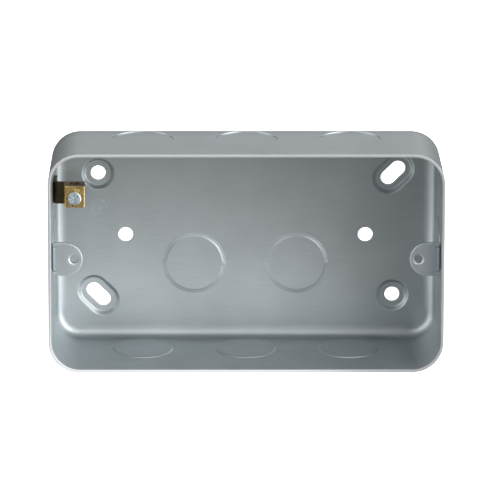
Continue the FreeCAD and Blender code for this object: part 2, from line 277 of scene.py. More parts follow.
class Skin:
    """Gathers the faces of one closed piece, in millimetres, and makes its mesh."""

    def __init__(self):
        self.points = []
        self.faces = []
        self.count = 0

    def add(self, points, faces):
        """Keep points and the faces between them."""
        self.points.append(points.reshape(-1, 3))
        self.faces.extend((faces + self.count).tolist())
        self.count += len(self.points[-1])

    def grid(self, points, closed=False):
        """Quads between rows and columns, the last column meeting the first if closed."""
        rows, columns = points.shape[:2]
        index = np.arange(rows * columns).reshape(rows, columns)
        across = np.concatenate([index, index[:, :1]], axis=1) if closed else index
        quads = np.stack([across[:-1, :-1], across[:-1, 1:], across[1:, 1:], across[1:, :-1]], axis=-1)
        self.add(points, quads.reshape(-1, 4))

    def fan(self, ring, middle):
        """Triangles from a closed ring to its middle."""
        count = len(ring)
        turn = np.arange(count)
        triangles = np.stack([turn, (turn + 1) % count, np.full(count, count)], axis=1)
        self.add(np.vstack([ring, middle]), triangles)

    def band(self, place, flat, heights):
        """A closed band through rows of flat points at their heights. Returns its points."""
        points = place(flat[..., 0], flat[..., 1], np.broadcast_to(heights, flat.shape[:2]))
        self.grid(points, closed=True)
        return points

    def fill(self, place, outline, loops, spots, heights):
        """Flat or rolled sheet between an outline and its loops, once for each height.

        It is laid with triangles over the spots that stand at least 0.7 of a loop's longest
        step away from that loop.
        """
        far = np.ones(len(spots), bool)
        for loop in [outline] + loops:
            gap = np.linalg.norm(np.roll(loop, -1, axis=0) - loop, axis=1).max() * 0.7
            nearest = np.sqrt(((spots[:, None] - loop[None]) ** 2).sum(-1)).min(axis=1)
            far &= nearest > gap
        far &= inside(spots, outline)
        for loop in loops:
            far &= ~inside(spots, loop)
        points = np.vstack([outline] + loops + [spots[far]])
        edges, start = [], 0
        for loop in [outline] + loops:
            turn = np.arange(len(loop))
            edges += np.stack([turn + start, (turn + 1) % len(loop) + start], axis=1).tolist()
            start += len(loop)
        found = delaunay_2d_cdt([Vector(p) for p in points.tolist()], edges, [], 0, 1e-7)
        flat = np.array([v[:] for v in found[0]])
        triangles = np.array([face[:] for face in found[2]])
        middle = flat[triangles].mean(axis=1)
        keep = inside(middle, outline)
        for loop in loops:
            keep &= ~inside(middle, loop)
        for height in heights:
            self.add(place(flat[:, 0], flat[:, 1], np.full(len(flat), height)), triangles[keep])

    def piece(self, name):
        """Mesh object of all the faces, joined where they meet and turned outward."""
        mesh = bpy.data.meshes.new(name)
        mesh.from_pydata((np.vstack(self.points) * MM).tolist(), [], self.faces)
        welded = bmesh.new()
        welded.from_mesh(mesh)
        bmesh.ops.remove_doubles(welded, verts=welded.verts, dist=WELD * MM)
        bmesh.ops.recalc_face_normals(welded, faces=welded.faces)
        open_edges = sum(not edge.is_manifold for edge in welded.edges)
        welded.to_mesh(mesh)
        welded.free()
        mesh.shade_smooth()
        mesh.set_sharp_from_angle(angle=SHARP_ANGLE)
        print(name, "faces", len(mesh.polygons), "open edges", open_edges)
        made = bpy.data.objects.new(name, mesh)
        bpy.context.scene.collection.objects.link(made)
        return made


class Ring:
    """A circle or round-ended slot in a flat layout: where its edge runs and which way is out.

    A slot's two centres stand half either side of the middle, turned by turn. On a ring with
    ties the stops crowd together at both: each moves to angle - 0.3 * sin(2 * angle).
    """

    def __init__(self, centre, radius, steps, half=0.0, turn=0.0, ties=False):
        quarter = steps // 4
        if half > 0:
            angle = np.linspace(-math.pi / 2, math.pi / 2, 2 * quarter + 1)
            run = np.linspace(half, -half, 7)[1:-1]
            base = np.concatenate([np.full(len(angle), half), run, np.full(len(angle), -half), -run])
            angle = np.concatenate([angle, np.full(len(run), math.pi / 2), angle + math.pi,
                                    np.full(len(run), -math.pi / 2)])
        else:
            angle = np.arange(steps) * 2 * math.pi / steps
            base = np.zeros(steps)
            if ties:
                angle = angle - 0.3 * np.sin(2 * angle)
        self.angle = angle
        self.radius = radius
        self.out = np.stack([np.cos(angle + turn), np.sin(angle + turn)], axis=-1)
        self.base = np.array(centre) + base[:, None] * np.array([math.cos(turn), math.sin(turn)])

    def at(self, distance):
        """Points outside the edge: one row for each distance, or for each row of them."""
        distance = np.asarray(distance, float)
        if distance.ndim < 2:
            distance = distance[:, None]
        reach = np.broadcast_to(self.radius + distance, (len(distance), len(self.angle)))
        return self.base + self.out * reach[..., None]


def lathe(skin, place, ring, stations):
    """Carry a profile of (distance from the edge, height) round a ring."""
    stations = np.array(stations, float)
    skin.band(place, ring.at(stations[:, 0]), stations[:, 1, None])


def rounded_edge(edge, sheet, steps):
    """Quarter round, wall and quarter round of a cut sheet.

    Returns how far the stops stand back from the cut, edge * (1 - sine) and then
    edge * (1 - cosine), and their heights from the outer face to the inner one.
    """
    quarter = np.linspace(0, math.pi / 2, steps)
    inset = edge * np.concatenate([1 - np.sin(quarter), 1 - np.cos(quarter)])
    height = np.concatenate([edge * np.cos(quarter) - edge, edge - sheet - edge * np.sin(quarter)])
    return inset, height


def plain_hole(sheet):
    """Profile of a pierced hole: outer face, rounded edge, wall, rounded edge, inner face."""
    return [(HOLE_REACH, 0.0), *zip(*rounded_edge(HOLE_EDGE, sheet, 4)), (HOLE_REACH, -sheet)]


def straight_ramp(x, soft=0.22):
    """A straight climb from nought to one whose first and last soft share are rounded."""
    x = np.clip(x, 0.0, 1.0)
    foot = np.minimum(x, soft) ** 2 / (2 * soft)
    middle = np.clip(x - soft, 0.0, 1 - 2 * soft)
    head = np.maximum(x - (1 - soft), 0.0)
    return (foot + middle + head - head ** 2 / (2 * soft)) / (1 - soft)


def dished_foot(sheet, height):
    """Profile of a pressed foot: out to the foot's face, through the hole, back along the dish."""
    outer_far, outer_near = FOOT_SLOPE_OUTSIDE
    inner_far, inner_near = FOOT_SLOPE_INSIDE
    out = np.linspace(outer_far, outer_near, 11)
    rise = height * straight_ramp((outer_far - out) / (outer_far - outer_near))
    back = np.linspace(inner_near, inner_far, 14)
    fall = height * straight_ramp((inner_far - back) / (inner_far - inner_near)) - sheet
    inset, level = rounded_edge(HOLE_EDGE, sheet, 4)
    return [(FOOT_REACH, 0.0), *zip(out, rise), (FOOT_FLAT, height), *zip(inset, height + level),
            (FOOT_FLAT, height - sheet), *zip(back, fall), (FOOT_REACH, -sheet)]


def knockout_disc(skin, place, ring, sheet, set_in, tie, burr_side=None):
    """Both faces of a sheared disc: a step at the edge, softened to a ramp at the two ties.

    The height is (1 - m) * step(r) + m * ramp(r), where m is one on a tie and nought off it.
    m is smooth(1.5 - distance from the tie's middle line / half its width). Inside, the step
    has a fine groove, or else it goes from a plain one to one with a burr:
    (1 - b) * plain(r) + b * burr(r), where b is half of one plus the cosine of the angle
    from the burr's side.
    """
    far = KNOCKOUT_REACH
    on_tie = smooth(1.5 - np.abs(np.sin(ring.angle)) * ring.radius / (tie / 2))
    outer_face = [(far, 0.0), (0.45, 0.0), (0.2, -0.01), (0.1, -0.04), (0.05, -0.12), (0.03, -0.3),
                  (0.0, -set_in - 0.1), (-0.04, -set_in), (-0.2, -set_in), (-far, -set_in)]
    groove_face = [(far, 0.0), (0.4, 0.0), (0.24, 0.01), (0.18, 0.03), (0.06, 0.09), (0.02, 0.08),
                   (-0.04, 0.02), (-0.12, -set_in * 0.15), (-0.3, -set_in * 0.5),
                   (-0.45, -set_in * 0.76), (-0.62, -set_in * 0.93), (-0.85, -set_in),
                   (-far, -set_in)]
    burr_face = [(far, 0.0), (0.4, 0.0), (0.26, -0.01), (0.12, -0.1), (0.05, -0.12), (-0.02, -0.1),
                 (-0.13, -0.03), (-0.2, -0.03), (-0.4, -set_in * 0.22), (-0.6, -set_in * 0.5),
                 (-0.8, -set_in * 0.78), (-0.98, -set_in * 0.95), (-1.12, -set_in), (-far, -set_in)]
    plain_rise = [0.0, 0.0, 0.02, 0.25, 0.35, 0.4, 0.42, 0.44, 0.5, 0.62, 0.8, 0.95, 1.0, 1.0]
    inner_face = groove_face if burr_side is None else burr_face
    for face, level in ((outer_face, 0.0), (inner_face, -sheet)):
        stations = np.array(face)
        away = stations[:, 0]
        ramp = -set_in * smooth((far * 0.8 - away) / (1.6 * far))
        step = np.repeat(stations[:, 1, None], len(ring.angle), axis=1)
        if face is burr_face:
            burr = 0.5 + 0.5 * np.cos(ring.angle - burr_side)
            step = step * burr - np.array(plain_rise)[:, None] * set_in * (1 - burr)
        heights = level + step * (1 - on_tie) + ramp[:, None] * on_tie
        skin.band(place, ring.at(away), heights)
        disc = skin.band(place, ring.at([-far, -far - 0.3, -far - 0.9]), level - set_in)
        skin.fan(disc[-1], disc[-1].mean(axis=0))


class Tray:
    """The drawn tray as a profile of (distance out from the corner centres, depth) carried round.

    Along the profile t runs from the back's flat, round the bend and down the wall to the rim,
    and h is the height outside the outer face. The wall's slope is its lean over its depth:
    normal points out of the wall, down runs along it to the rim, and turn is the bend's angle.
    """

    def __init__(self, size):
        self.size = size
        floor = -size.foot_height
        self.floor = floor
        slope = size.wall_lean / (floor + size.depth)
        self.normal = np.array([1.0, slope]) / math.hypot(1.0, slope)
        self.down = np.array([slope, -1.0]) / math.hypot(1.0, slope)
        self.turn = math.atan2(self.normal[0], self.normal[1])
        self.bend_y = floor - size.back_bend
        touch_y = self.bend_y + size.back_bend * self.normal[1]
        touch_out = size.corner - slope * (touch_y + size.depth)
        self.bend_out = touch_out - size.back_bend * self.normal[0]
        self.touch_y = touch_y
        self.mid = size.back_bend - size.sheet / 2
        self.bend_length = self.mid * self.turn
        tip = size.sheet * self.normal[1]
        self.rim_t = self.bend_length + (touch_y + size.depth - tip) / -self.down[1]
        self.half_x = size.width / 2 - size.corner
        self.half_z = size.height / 2 - size.corner

    def side(self, way):
        """Middle of the line of corner centres on one side, and the direction along it."""
        along = np.array([abs(way[1]), abs(way[0])])
        return way * np.array([self.half_x, self.half_z]), along

    def profile(self, t, h):
        """Distance out and depth for a place t along the profile and a height h.

        Round the bend they follow (bend radius + h) times the sine and the cosine of the
        angle, and past it they go straight on down the wall.
        """
        angle = np.clip(t / self.mid, 0.0, self.turn)
        along = np.maximum(t - self.bend_length, 0.0)
        inward = np.minimum(t, 0.0)
        reach = self.size.back_bend + h
        out = self.bend_out + reach * np.sin(angle) + along * self.down[0] + inward
        y = self.bend_y + reach * np.cos(angle) + along * self.down[1]
        return out, y

    def carried(self, centre, way, t, h):
        """Points of the profile carried along a centre line: centre + way * distance out."""
        out, y = self.profile(t, h)
        x = centre[..., 0] + way[..., 0] * out
        z = centre[..., 1] + way[..., 1] * out
        return np.stack([x, y + 0 * x, z], axis=-1)

    def wall(self, way):
        """Layout of one wall: s along it, t from the back, h outward."""
        way = np.array(way, float)
        middle, along = self.side(way)

        def place(s, t, h):
            centre = middle + np.asarray(s)[..., None] * along
            return self.carried(centre, np.broadcast_to(way, centre.shape), t, h)

        return place

    def back(self, x, z, h):
        """Layout of the back: x and z as they are, h outward."""
        return np.stack([x, self.floor + h, z], axis=-1)


def wall_stops(half, pitch):
    """Evenly spaced stops along a wall."""
    return np.linspace(-half, half, 2 * int(round(half / pitch)) + 1)


def tray_path(tray, pitch, corner_steps):
    """The line of corner centres once round, with the direction out at each stop."""
    centres, ways = [], []
    stops_x = wall_stops(tray.half_x, pitch)
    stops_z = wall_stops(tray.half_z, pitch)
    turns = np.linspace(0, math.pi / 2, corner_steps + 1)[1:-1]
    for side, (ways_out, stops) in enumerate((((1, 0), stops_z), ((0, 1), -stops_x),
                                              ((-1, 0), -stops_z), ((0, -1), stops_x))):
        way = np.array(ways_out, float)
        middle, along = tray.side(way)
        centres.append(middle + stops[:, None] * along)
        ways.append(np.tile(way, (len(stops), 1)))
        angle = turns + side * math.pi / 2
        centres.append(np.tile(centres[-1][-1], (len(angle), 1)))
        ways.append(np.stack([np.cos(angle), np.sin(angle)], axis=-1))
    return np.vstack(centres), np.vstack(ways)


def box_skin(size):
    """The whole drawn tray with its feet, holes and knockouts, as one closed skin."""
    tray = Tray(size)
    skin = Skin()
    levels = (0.0, -size.sheet)
    wall_end = tray.rim_t - size.rim_edge
    rows = np.concatenate([np.linspace(0, tray.bend_length, BEND_ROWS),
                           np.linspace(tray.bend_length, wall_end, WALL_ROWS)[1:]])
    turns = np.linspace(0, math.pi / 2, CORNER_STEPS + 1)
    for quarter, (right, top) in enumerate(((1, 1), (-1, 1), (-1, -1), (1, -1))):
        angle = turns + quarter * math.pi / 2
        way = np.stack([np.cos(angle), np.sin(angle)], axis=-1)[None]
        centre = np.broadcast_to(np.array([right * tray.half_x, top * tray.half_z]), way.shape)
        for level in levels:
            skin.grid(tray.carried(centre, way, rows[:, None], level))

    centres, ways = tray_path(tray, STOP_PITCH, CORNER_STEPS)
    inset, rim_h = rounded_edge(size.rim_edge, size.sheet, 4)
    rim_t = tray.rim_t - inset
    skin.grid(tray.carried(centres[None], ways[None], rim_t[:, None], rim_h[:, None]), closed=True)

    wall_t = tray.bend_length + (tray.touch_y + size.wall_from_feet) / -tray.down[1]
    outer_x = size.width / 2 - size.outer_from_end
    for way, half, knockouts in (((0, 1), tray.half_x, (-outer_x, 0.0, outer_x)),
                                 ((0, -1), tray.half_x, (-outer_x, 0.0, outer_x)),
                                 ((1, 0), tray.half_z, (0.0,)),
                                 ((-1, 0), tray.half_z, (0.0,))):
        place = tray.wall(way)
        stops = wall_stops(half, STOP_PITCH)
        low = np.stack([stops, 0 * stops + rows[0]], axis=-1)
        high = np.stack([stops[::-1], 0 * stops + rows[-1]], axis=-1)
        right = np.stack([0 * rows[1:-1] + half, rows[1:-1]], axis=-1)
        left = np.stack([0 * rows[1:-1] - half, rows[-2:0:-1]], axis=-1)
        spots = np.stack(np.meshgrid(stops[1:-1], rows[1:-1]), axis=-1).reshape(-1, 2)
        loops = []
        for s in knockouts:
            ring = Ring((s, wall_t), size.knockout / 2, KNOCKOUT_STEPS, ties=True)
            knockout_disc(skin, place, ring, size.sheet, size.knockout_set, size.tie)
            loops.append(ring.at([KNOCKOUT_REACH])[0])
        skin.fill(place, np.vstack([low, right, high, left]), loops, spots, levels)

    loops = back_features(skin, tray, size)
    outline = centres + ways * tray.profile(np.zeros(1), 0.0)[0]
    across = np.arange(-size.width / 2, size.width / 2, SPOT_PITCH)
    spots = np.stack(np.meshgrid(across, across), axis=-1).reshape(-1, 2)
    skin.fill(tray.back, outline, loops, spots, levels)
    return skin


def back_features(skin, tray, size):
    """Knockouts, dished feet and plain holes of the back. Returns the loops that they fill."""
    loops = []
    knockout_z = size.back_from_bottom - size.height / 2
    for side in (-1, 1):
        centre = (side * size.back_pitch / 2, knockout_z)
        ring = Ring(centre, size.knockout / 2, KNOCKOUT_STEPS, ties=True)
        knockout_disc(skin, tray.back, ring, size.sheet, size.knockout_set, size.tie, BURR_SIDE)
        loops.append(ring.at([KNOCKOUT_REACH])[0])
        centre = (side * (size.width / 2 - size.plain_from_end), 0.0)
        ring = Ring(centre, size.hole / 2, HOLE_STEPS)
        lathe(skin, tray.back, ring, plain_hole(size.sheet))
        loops.append(ring.at([HOLE_REACH])[0])
    right = size.width / 2 - size.foot_from_end
    top = size.height / 2 - size.foot_from_side
    half = (size.slot - size.hole) / 2
    for centre, slot, turn in (((-right, top), 0.0, 0.0), ((right, -top), 0.0, 0.0),
                               ((right, top), half, math.pi / 4),
                               ((-right, -top), half, -math.pi / 4)):
        ring = Ring(centre, size.hole / 2, FOOT_STEPS, slot, turn)
        lathe(skin, tray.back, ring, dished_foot(size.sheet, size.foot_height))
        loops.append(ring.at([FOOT_REACH])[0])
    loops.append(earth_mark(skin, tray, size))
    return loops


def bar(x, z, start, end, half_width):
    """Distance outside a straight bar with round ends."""
    start, end = np.array(start), np.array(end)
    run = end - start
    share = np.clip(((x - start[0]) * run[0] + (z - start[1]) * run[1]) / (run @ run), 0.0, 1.0)
    return np.hypot(x - start[0] - share * run[0], z - start[1] - share * run[1]) - half_width


def earth_mark(skin, tray, size):
    """The usual sign for earth in a ring, coined into a small square of the back's inner face.

    It stands out by rise * smooth(0.5 - distance to the nearest line / edge).
    """
    step = np.linspace(-MARK_HALF, MARK_HALF, MARK_STEPS + 1)
    x, z = np.meshgrid(step, step)
    ring = np.abs(np.hypot(x, z) - MARK_RING) - MARK_LINE
    stem = bar(x, z, *MARK_STEM, MARK_LINE)
    bars = [bar(x, z, (-half, level), (half, level), MARK_LINE) for half, level in MARK_BARS]
    nearest = np.minimum.reduce([ring, stem] + bars)
    raised = MARK_RISE * smooth(0.5 - nearest / MARK_EDGE)
    x, z = x + MARK_PLACE[0], z + MARK_PLACE[1]
    skin.grid(tray.back(x, z, -size.sheet - raised))
    skin.grid(tray.back(x, z, 0 * x))
    low = np.stack([step[:-1], 0 * step[:-1] - MARK_HALF], axis=-1)
    loop = [low]
    for _ in range(3):
        loop.append(np.stack([-loop[-1][:, 1], loop[-1][:, 0]], axis=-1))
    return np.vstack(loop) + np.array(MARK_PLACE)


def rounded_loop(corners, radii, pitch):
    """A closed loop through corners, each rounded by its radius, with stops at an even pitch."""
    corners = np.array(corners, float)
    path = []
    befores, afters = np.roll(corners, 1, 0), np.roll(corners, -1, 0)
    for before, here, after, radius in zip(befores, corners, afters, radii):
        back = (before - here) / np.linalg.norm(before - here)
        on = (after - here) / np.linalg.norm(after - here)
        half = math.acos(np.clip(back @ on, -1, 1)) / 2
        reach = radius / math.tan(half)
        centre = here + (back + on) / np.linalg.norm(back + on) * radius / math.sin(half)
        start, end = here + back * reach - centre, here + on * reach - centre
        share = np.linspace(0, 1, 13)[:, None]
        sweep = math.pi - 2 * half
        arc = (start * np.sin((1 - share) * sweep) + end * np.sin(share * sweep)) / math.sin(sweep)
        path.append(centre + arc)
    path = np.vstack(path)
    path = np.vstack([path, path[:1]])
    travelled = np.concatenate([[0], np.cumsum(np.linalg.norm(np.diff(path, axis=0), axis=1))])
    stops = np.linspace(0, travelled[-1], int(travelled[-1] / pitch) + 1)[:-1]
    return np.stack([np.interp(stops, travelled, path[:, axis]) for axis in (0, 1)], axis=-1)


def lug_skin(box, lug, side):
    """A lug: a flat strip laid out as (s from the tip, v across), bent back at the wall.

    h is the height in front of the strip's face. Past the bend line the middle of the strip
    turns about a centre behind the face until it lies along the leaning wall, and the ears
    on either side of it stay flat. The tab falls back from its middle by
    bow * (distance from the middle / half its length) squared.
    """
    tray = Tray(box)
    face = lug.depth - box.depth
    outer = lug.bend + lug.sheet
    centre_y = face + outer
    slope = box.wall_lean / (box.depth - box.foot_height)
    touch_y = centre_y + outer * tray.normal[1]
    wall = box.width / 2 - box.sheet - slope * (touch_y + box.depth)
    centre_x = wall - outer * tray.normal[0]
    hole_x = box.width / 2 - lug.from_end
    tip_x = hole_x - lug.tip
    flat = centre_x - tip_x
    sweep = math.pi - tray.turn
    middle = lug.bend + lug.sheet / 2
    arc = middle * sweep
    flange = (box.wall_from_feet + box.knockout / 2 + lug.knockout_gap + touch_y) / tray.down[1]
    wide, narrow = lug.width / 2, lug.root_width / 2

    def place(s, v, h):
        bent = np.abs(v) < narrow + lug.slit / 2
        angle = np.where(bent, np.clip((s - flat) / middle, 0.0, sweep), 0.0)
        along = np.where(bent, np.maximum(s - flat - arc, 0.0), 0.0)
        run = np.where(bent, np.minimum(s, flat), s)
        reach = outer + h
        x = tip_x + run + reach * np.sin(angle) - along * tray.down[0]
        across = np.clip(2 * s / flat - 1, -1, 1)
        y = centre_y - reach * np.cos(angle) - along * tray.down[1] + lug.bow * across ** 2
        return np.stack([side * x, y, v + 0 * x], axis=-1)

    ear = box.width / 2 - box.sheet - slope * lug.depth - lug.ear_gap - tip_x
    end = flat + arc + flange
    cut = narrow + lug.slit
    lower = [(0, -wide), (ear, -wide), (ear, -cut), (flat, -cut), (flat, -narrow), (end, -narrow)]
    upper = [(s, -v) for s, v in reversed(lower)]
    radii = [wide - 0.01, EAR_ROUND, SLIT_MOUTH_ROUND, SLIT_ROUND, SLIT_ROUND, FLANGE_ROUND]
    loop = rounded_loop(lower + upper, radii + radii[::-1], LUG_STOP_PITCH)
    ahead = np.roll(loop, -1, axis=0) - np.roll(loop, 1, axis=0)
    ahead /= np.linalg.norm(ahead, axis=1)[:, None]
    inward = np.stack([-ahead[:, 1], ahead[:, 0]], axis=-1)
    inset, height = rounded_edge(lug.edge, lug.sheet, 5)
    strip = loop[None] + inward[None] * inset[:, None, None]
    skin = Skin()
    skin.band(place, strip, height[:, None])

    ring = Ring((hole_x - tip_x, 0.0), lug.thread_core / 2, THREAD_STEPS)
    threaded_hole(skin, place, ring, lug)
    step = LUG_SPOT_PITCH
    s, v = np.meshgrid(np.arange(step, flat, step), np.arange(-wide, wide, step))
    round_bend = np.append(np.linspace(flat, flat + arc, 9), flat + arc + flange / 2)
    s_bend, v_bend = np.meshgrid(round_bend, np.linspace(-narrow + step, narrow - step, 9))
    spots = np.stack([np.append(s, s_bend), np.append(v, v_bend)], axis=-1)
    skin.fill(place, strip[0], [ring.at([THREAD_REACH])[0]], spots, (0.0, -lug.sheet))
    return skin


def threaded_hole(skin, place, ring, lug):
    """Countersink, thread and collar of a lug as rings of (distance from the core, height).

    On the thread the distance is a triangle wave of height / pitch + angle / full turn,
    which fades away near both its ends.
    """
    core = lug.thread_core / 2
    entry = lug.entry / 2 - core
    collar = lug.collar / 2 - core
    bottom = -lug.sheet - lug.collar_length
    start = -entry
    rows = np.arange(start, bottom + 0.1, -lug.thread_pitch / 8)
    wave = rows[:, None] / lug.thread_pitch + ring.angle[None] / (2 * math.pi)
    groove = THREAD_DEPTH * np.abs((wave % 1.0) * 2 - 1)
    fade = smooth((rows - bottom) / 0.35)[:, None] * smooth((start - rows) / 0.2 + 0.2)[:, None]
    front = np.array([(THREAD_REACH, 0.0), (entry + 0.1, 0.0), (entry, -0.04),
                      (entry - 0.1, -0.12), (0.12, start + 0.1)])
    rear = np.array([(0.06, bottom + 0.05), (0.16, bottom), (collar - 0.15, bottom),
                     (collar - 0.04, bottom + 0.05), (collar, bottom + 0.18),
                     (collar, -lug.sheet - 0.22), (collar + 0.06, -lug.sheet - 0.07),
                     (collar + 0.18, -lug.sheet), (THREAD_REACH, -lug.sheet)])
    level = np.ones(len(ring.angle))
    away = np.concatenate([front[:, :1] * level, groove * fade, rear[:, :1] * level])
    height = np.concatenate([front[:, 1], rows, rear[:, 1]])
    skin.band(place, ring.at(away), height[:, None])


class Wire:
    """An output of a node that can be used in sums."""

    def __init__(self, recipe, socket):
        self.recipe = recipe
        self.socket = socket

    def maths(self, operation, first, second):
        """One sum of two numbers or wires."""
        return self.recipe.node("ShaderNodeMath", {"operation": operation}, {0: first, 1: second})

    def __add__(self, other):
        return self.maths("ADD", self, other)

    def __radd__(self, other):
        return self.maths("ADD", other, self)

    def __sub__(self, other):
        return self.maths("SUBTRACT", self, other)

    def __rsub__(self, other):
        return self.maths("SUBTRACT", other, self)

    def __mul__(self, other):
        return self.maths("MULTIPLY", self, other)

    def __rmul__(self, other):
        return self.maths("MULTIPLY", other, self)


class Recipe:
    """A material, or the air of the studio, written as sums of wires."""

    def __init__(self, name, shelf=None):
        self.material = (bpy.data.materials if shelf is None else shelf).new(name)
        self.material.use_nodes = True
        self.tree = self.material.node_tree
        self.tree.nodes.clear()

    def node(self, kind, settings=None, sockets=None, out=0):
        """A node of any kind: its settings first, then the values or wires of its sockets."""
        made = self.tree.nodes.new(kind)
        for name, value in (settings or {}).items():
            setattr(made, name, value)
        for name, value in (sockets or {}).items():
            if isinstance(value, Wire):
                self.tree.links.new(value.socket, made.inputs[name])
            else:
                made.inputs[name].default_value = value
        return Wire(self, made.outputs[out])

    def place(self, scale=(1.0, 1.0, 1.0)):
        """Object coordinates, stretched by scale."""
        here = self.node("ShaderNodeTexCoord", out=3)
        return self.node("ShaderNodeMapping", None, {"Vector": here, "Scale": scale})

    def axis(self, place, way):
        """One coordinate of a place: 0 across, 1 for depth and 2 for height."""
        return self.node("ShaderNodeSeparateXYZ", None, {0: place}, out=way)

    def cloud(self, place, size, detail, roughness=0.55):
        """Soft noise whose features are about size across, in metres."""
        return self.node("ShaderNodeTexNoise", {"noise_dimensions": "3D"},
                         {"Vector": place, "Scale": 1 / size, "Detail": detail,
                          "Roughness": roughness})

    def between(self, wire, low, high):
        """Nought where the wire is at low, one at high, and a soft S between them."""
        return self.node("ShaderNodeMapRange", {"interpolation_type": "SMOOTHSTEP"},
                         {"Value": wire, "From Min": low, "From Max": high})

    def blend(self, share, first, second):
        """Colour from first to second by share."""
        return self.node("ShaderNodeMix", {"data_type": "RGBA"},
                         {0: share, 6: first, 7: second}, out=2)

    def metal(self, shade, roughness, height, depth):
        """Metal of a colour and a roughness, with a relief of that depth in metres."""
        relief = self.node("ShaderNodeBump", None,
                           {"Height": height, "Strength": 1.0, "Distance": depth})
        self.finish(self.node("ShaderNodeBsdfPrincipled", None,
                              {"Base Color": shade, "Roughness": roughness, "Metallic": 1.0,
                               "Normal": relief}))
        return self.material

    def finish(self, surface, kind="ShaderNodeOutputMaterial"):
        """Wire a surface to the output that shows it."""
        output = self.tree.nodes.new(kind)
        self.tree.links.new(surface.socket, output.inputs["Surface"])

    def glow(self, way, sharpness):
        """A soft round glow in one direction of the sky: exp(sharpness * (cosine to it - 1))."""
        here = self.node("ShaderNodeVectorMath", {"operation": "NORMALIZE"},
                         {0: self.node("ShaderNodeTexCoord")})
        cosine = self.node("ShaderNodeVectorMath", {"operation": "DOT_PRODUCT"},
                           {0: here, 1: Vector(way).normalized()}, out=1)
        return self.node("ShaderNodeMath", {"operation": "EXPONENT"},
                         {0: (cosine - 1.0) * sharpness})


# Size of each pattern in the metals, and how deep their relief goes
ROLLING_LINE = 9 * MM
PATCH = 26 * MM
GRIT = 0.45 * MM
SWELL = 34 * MM
TARNISH = 2.5 * MM
SAW_CUT = 1.2 * MM
MOTTLE = 0.9 * MM
CUT_RELIEF = 0.008 * MM
MOTTLE_RELIEF = 0.006 * MM

# Painted shade: the sheet is painted darker up the back, for the shade under the top wall, between
# these heights and these depths
PAINTED_SHADE_HEIGHTS = (-30 * MM, 34 * MM)
PAINTED_SHADE_DEPTHS = (-12 * MM, -4 * MM)

# Where the terminal's tail leaves its block, and the front and top of the block
TAIL_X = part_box("earth_terminal_screw")[0][0] - 1.15 * MM
BLOCK_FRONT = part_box("earth_terminal")[0][1]
TERMINAL_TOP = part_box("earth_terminal")[1][2]


def opaque(shade):
    """A settings colour with full alpha."""
    return (*shade, 1.0)


def galvanised(name, looks, bright, dull_and_shaded, dull=0.0, edge_y=-1.0):
    """Rolled zinc-coated steel: fine rolling lines, faint clouding and grit, bare at a cut edge.

    The colour goes from the first colour to the second by 0.4 * clouding + 0.6 * painted shade,
    which darkens the back towards its top, and to that of bare steel in front of the depth edge_y.
    """
    recipe = Recipe(name)
    here = recipe.place()
    lines = recipe.cloud(recipe.place((1.0, 5.0, 20.0)), ROLLING_LINE, 4.0, 0.65)
    patches = recipe.cloud(here, PATCH, 2.0)
    grit = recipe.cloud(here, GRIT, 2.0)
    share = recipe.between(patches * 0.6 + lines * 0.4, 0.34, 0.68)
    depth, up = (recipe.axis(here, way) for way in (1, 2))
    # Painted shade: this mask darkens the back towards its top
    painted_shade = recipe.between(up, *PAINTED_SHADE_HEIGHTS) * recipe.between(depth, *PAINTED_SHADE_DEPTHS)
    # The sheet's colour carries the random clouding and the painted shade
    sheet = recipe.blend(share * 0.4 + painted_shade * 0.6, opaque(bright), opaque(dull_and_shaded))
    cut = recipe.between(depth, edge_y + 0.3 * MM, edge_y + 0.1 * MM)
    shade = recipe.blend(cut, sheet, opaque(looks.cut_edge))
    roughness = (looks.zinc_roughness + dull + (lines - 0.5) * 0.04 + (patches - 0.5) * 0.04
                 + cut * 0.15)
    height = lines * 0.2 + grit * 0.2 + recipe.cloud(here, SWELL, 1.0) * 4.0
    return recipe.metal(shade, roughness, height, CUT_RELIEF)


def brass(name, looks):
    """Cut brass, a little tarnished on the block, with painted shade on the tail by the wall.

    The painted shade covers three quarters of the block's top edge, and the tail by
    tail * (1 - 0.7 * how deep it lies behind the block's front).
    """
    recipe = Recipe(name)
    here = recipe.place()
    across, depth, height = (recipe.axis(here, way) for way in range(3))
    tarnish = recipe.between(recipe.cloud(here, TARNISH, 4.0), 0.42, 0.66)
    cuts = recipe.cloud(recipe.place((1.0, 12.0, 1.0)), SAW_CUT, 3.0)
    ragged = across + (tarnish - 0.5) * (0.3 * MM)
    # Painted shade on the tail between the block and the wall
    tail = recipe.between(ragged, TAIL_X + 0.2 * MM, TAIL_X - 0.6 * MM)
    # Painted shade on the top of the block
    top = (recipe.between(height, TERMINAL_TOP - 0.4 * MM, TERMINAL_TOP - 0.1 * MM)
           * recipe.between(depth, BLOCK_FRONT + 0.2 * MM, BLOCK_FRONT + 1.2 * MM))
    block = recipe.blend(tarnish, opaque(looks.brass), opaque(looks.brass_dull))
    # The block's colour with painted shade on its top
    painted_shade = recipe.blend(top * 0.75, block, opaque(looks.brass_painted_shade))
    deep = recipe.between(depth, BLOCK_FRONT + 7 * MM, BLOCK_FRONT + 9 * MM)
    # Painted shade on the tail, lighter towards its back end
    shade = recipe.blend(tail * (1.0 - deep * 0.7), painted_shade, opaque(looks.brass_painted_shade))
    roughness = 0.26 + tarnish * 0.16 + (cuts - 0.5) * 0.1 + tail * 0.1
    return recipe.metal(shade, roughness, cuts, CUT_RELIEF)


def plated(name, looks, rough):
    """Bright zinc plating, a touch uneven."""
    recipe = Recipe(name)
    here = recipe.place()
    mottle = recipe.cloud(here, MOTTLE, 3.0)
    dull = recipe.between(mottle, 0.35, 0.7)
    shade = recipe.blend(dull, opaque(looks.plate), opaque(looks.zinc_dull_and_shade))
    return recipe.metal(shade, rough + (mottle - 0.5) * 0.14, mottle, MOTTLE_RELIEF)


